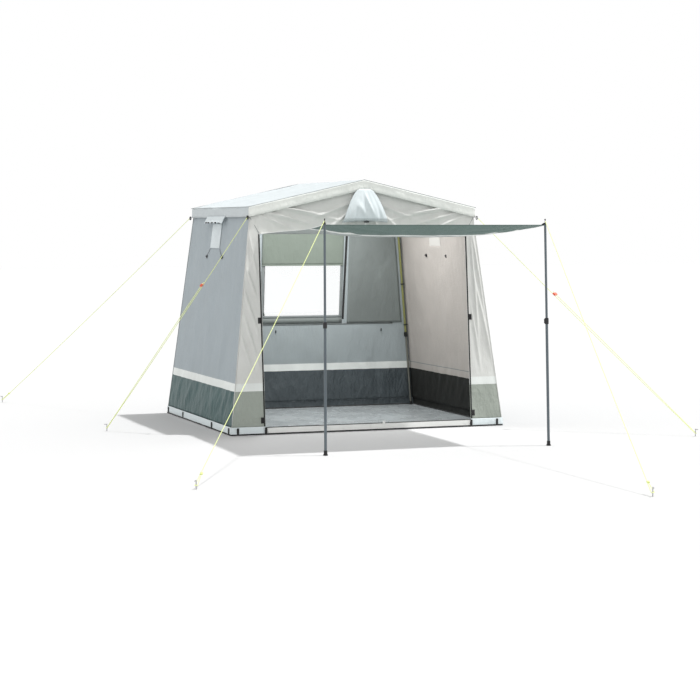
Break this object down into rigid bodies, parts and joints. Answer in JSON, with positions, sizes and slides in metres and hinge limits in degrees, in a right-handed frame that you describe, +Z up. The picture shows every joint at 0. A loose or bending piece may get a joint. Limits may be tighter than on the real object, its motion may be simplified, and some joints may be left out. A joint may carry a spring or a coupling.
{
  "type": "screen house",
  "caption": "Gable-roofed camping screen house on a telescopic tube frame, door panel propped up on poles as a canopy, window with blind, flap vents, guy lines",
  "frame": {"origin": "on the ground under the middle of the room, in the plane the groundsheet rests on", "axes": "+Z up; -Y out through the front door; +X to the right for someone facing the door from outside"},
  "size_m": [4.9641, 8.0713, 2.1598],
  "materials": {
    "groundsheet_cloth": "thin welded plastic sheet, slightly shiny, with flat creases",
    "wall_cloth": "coated polyester, matte, light blue-grey with a dark green-grey band at the foot",
    "front_cloth": "coated polyester, matte, light blue-grey with a green-grey band at the foot",
    "roof_cloth": "coated polyester, matte, pale grey-white",
    "flap_cloth": "coated polyester, matte, pale grey",
    "canopy_cloth": "coated polyester, pale grey outside and dark green-grey inside",
    "clear_film": "clear soft film, shiny",
    "blind_cloth": "polyester, matte, sage green",
    "cover_cloth": "polyester, matte, dark grey",
    "insect_mesh": "fine woven mesh, pale grey",
    "black_webbing": "woven tape, matte black",
    "black_metal": "black enamel",
    "black_plastic": "moulded, matte black",
    "black_rubber": "moulded rubber, matte black",
    "frame_steel": "powder coat, satin grey",
    "pole_steel": "powder coat, satin blue-grey",
    "peg_steel": "plain steel rod, lightly brushed",
    "guy_cord": "braided cord, pale yellow-green",
    "runner_plastic": "moulded, satin orange-red"
  },
  "bodies": {
    "tent": {"groundsheet": "groundsheet_cloth", "left_wall": "wall_cloth", "right_wall": "wall_cloth", "back_wall": "wall_cloth", "front_left_panel": "front_cloth", "front_right_panel": "front_cloth", "front_gable": "front_cloth", "back_gable": "wall_cloth", "roof_left": "roof_cloth", "roof_right": "roof_cloth", "roof_valance": "roof_cloth", "mud_flap": "flap_cloth", "door_sill": "flap_cloth", "window_pane": "clear_film", "window_blind": "blind_cloth", "rear_cover": "cover_cloth", "vent_hood_front": "roof_cloth", "vent_hood_left": "roof_cloth", "vent_hood_right": "roof_cloth", "vent_meshes": "insect_mesh", "door_zips": "black_webbing", "toggles": "black_plastic", "pole_clips": "black_plastic", "peg_loops": "black_webbing", "guy_loops": "black_webbing", "leg_upper_tubes": "frame_steel", "tube_clamps": "black_plastic", "corner_joints": "black_plastic", "peak_joints": "black_plastic", "eave_poles": "frame_steel", "rafters": "frame_steel", "ridge_pole": "frame_steel", "canopy_pole_lower_tubes": "pole_steel", "canopy_pole_feet": "black_rubber", "guy_pegs": "peg_steel", "guy_rope_front_left": "guy_cord", "guy_rope_front_right": "guy_cord", "guy_rope_back_left": "guy_cord", "guy_rope_canopy_left": "guy_cord", "guy_rope_canopy_right": "guy_cord"},
    "canopy": {"door_canopy": "canopy_cloth"},
    "canopy_pole_left": {"canopy_pole_tube_left": "pole_steel", "canopy_pole_tip_left": "black_plastic"},
    "canopy_pole_right": {"canopy_pole_tube_right": "pole_steel", "canopy_pole_tip_right": "black_plastic"},
    "leg_front_left": {"leg_tube_front_left": "frame_steel", "leg_foot_front_left": "black_rubber"},
    "leg_front_right": {"leg_tube_front_right": "frame_steel", "leg_foot_front_right": "black_rubber"},
    "leg_back_left": {"leg_tube_back_left": "frame_steel", "leg_foot_back_left": "black_rubber"},
    "leg_back_right": {"leg_tube_back_right": "frame_steel", "leg_foot_back_right": "black_rubber"},
    "zip_left": {"zip_slider_left": "black_metal"},
    "vent_left": {"vent_flap_left": "roof_cloth"},
    "runner_left": {"guy_runner_front_left": "runner_plastic"},
    "zip_right": {"zip_slider_right": "black_metal"},
    "vent_right": {"vent_flap_right": "roof_cloth"},
    "runner_right": {"guy_runner_front_right": "runner_plastic"},
    "blind": {"blind_batten": "blind_cloth"}
  },
  "joints": [
    {"name": "canopy_swing", "type": "hinge", "parent": "tent", "child": "canopy", "pos_m": [0, -0.90038, 1.69], "axis": [1, 0, 0], "range_deg": [0, 87.3]},
    {"name": "canopy_pole_left_slide", "type": "slide", "parent": "tent", "child": "canopy_pole_left", "axis": [0.0085, 0.0339, 0.9994], "range_m": [-0.55, 0], "deforming": ["guy_rope_canopy_left"]},
    {"name": "canopy_pole_right_slide", "type": "slide", "parent": "tent", "child": "canopy_pole_right", "axis": [-0.0085, 0.0339, 0.9994], "range_m": [-0.55, 0], "deforming": ["guy_rope_canopy_right"]},
    {"name": "leg_front_left_slide", "type": "slide", "parent": "tent", "child": "leg_front_left", "axis": [0.1178, 0.0922, 0.9887], "range_m": [0, 0.4]},
    {"name": "leg_front_right_slide", "type": "slide", "parent": "tent", "child": "leg_front_right", "axis": [-0.1178, 0.0922, 0.9887], "range_m": [0, 0.4]},
    {"name": "leg_back_left_slide", "type": "slide", "parent": "tent", "child": "leg_back_left", "axis": [0.1178, -0.0922, 0.9887], "range_m": [0, 0.4]},
    {"name": "leg_back_right_slide", "type": "slide", "parent": "tent", "child": "leg_back_right", "axis": [-0.1178, -0.0922, 0.9887], "range_m": [0, 0.4]},
    {"name": "zip_left_slide", "type": "slide", "parent": "tent", "child": "zip_left", "axis": [0, 0.0929, 0.9957], "range_m": [0, 1.55]},
    {"name": "zip_right_slide", "type": "slide", "parent": "tent", "child": "zip_right", "axis": [0, 0.0929, 0.9957], "range_m": [0, 1.55]},
    {"name": "vent_left_hinge", "type": "hinge", "parent": "tent", "child": "vent_left", "pos_m": [-1.04075, 0.05, 1.78541], "axis": [0, 1, 0], "range_deg": [0, 75]},
    {"name": "vent_right_hinge", "type": "hinge", "parent": "tent", "child": "vent_right", "pos_m": [1.04075, 0.05, 1.78541], "axis": [0, -1, 0], "range_deg": [0, 75]},
    {"name": "blind_roll", "type": "slide", "parent": "tent", "child": "blind", "axis": [0, -0.0929, 0.9957], "range_m": [0, 0.27], "deforming": ["window_blind"]},
    {"name": "runner_left_slide", "type": "slide", "parent": "tent", "child": "runner_left", "axis": [-0.4906, 0.2837, -0.8239], "range_m": [0, 0.25]},
    {"name": "runner_right_slide", "type": "slide", "parent": "tent", "child": "runner_right", "axis": [0.4947, -0.5541, -0.6695], "range_m": [0, 0.25]}
  ]
}
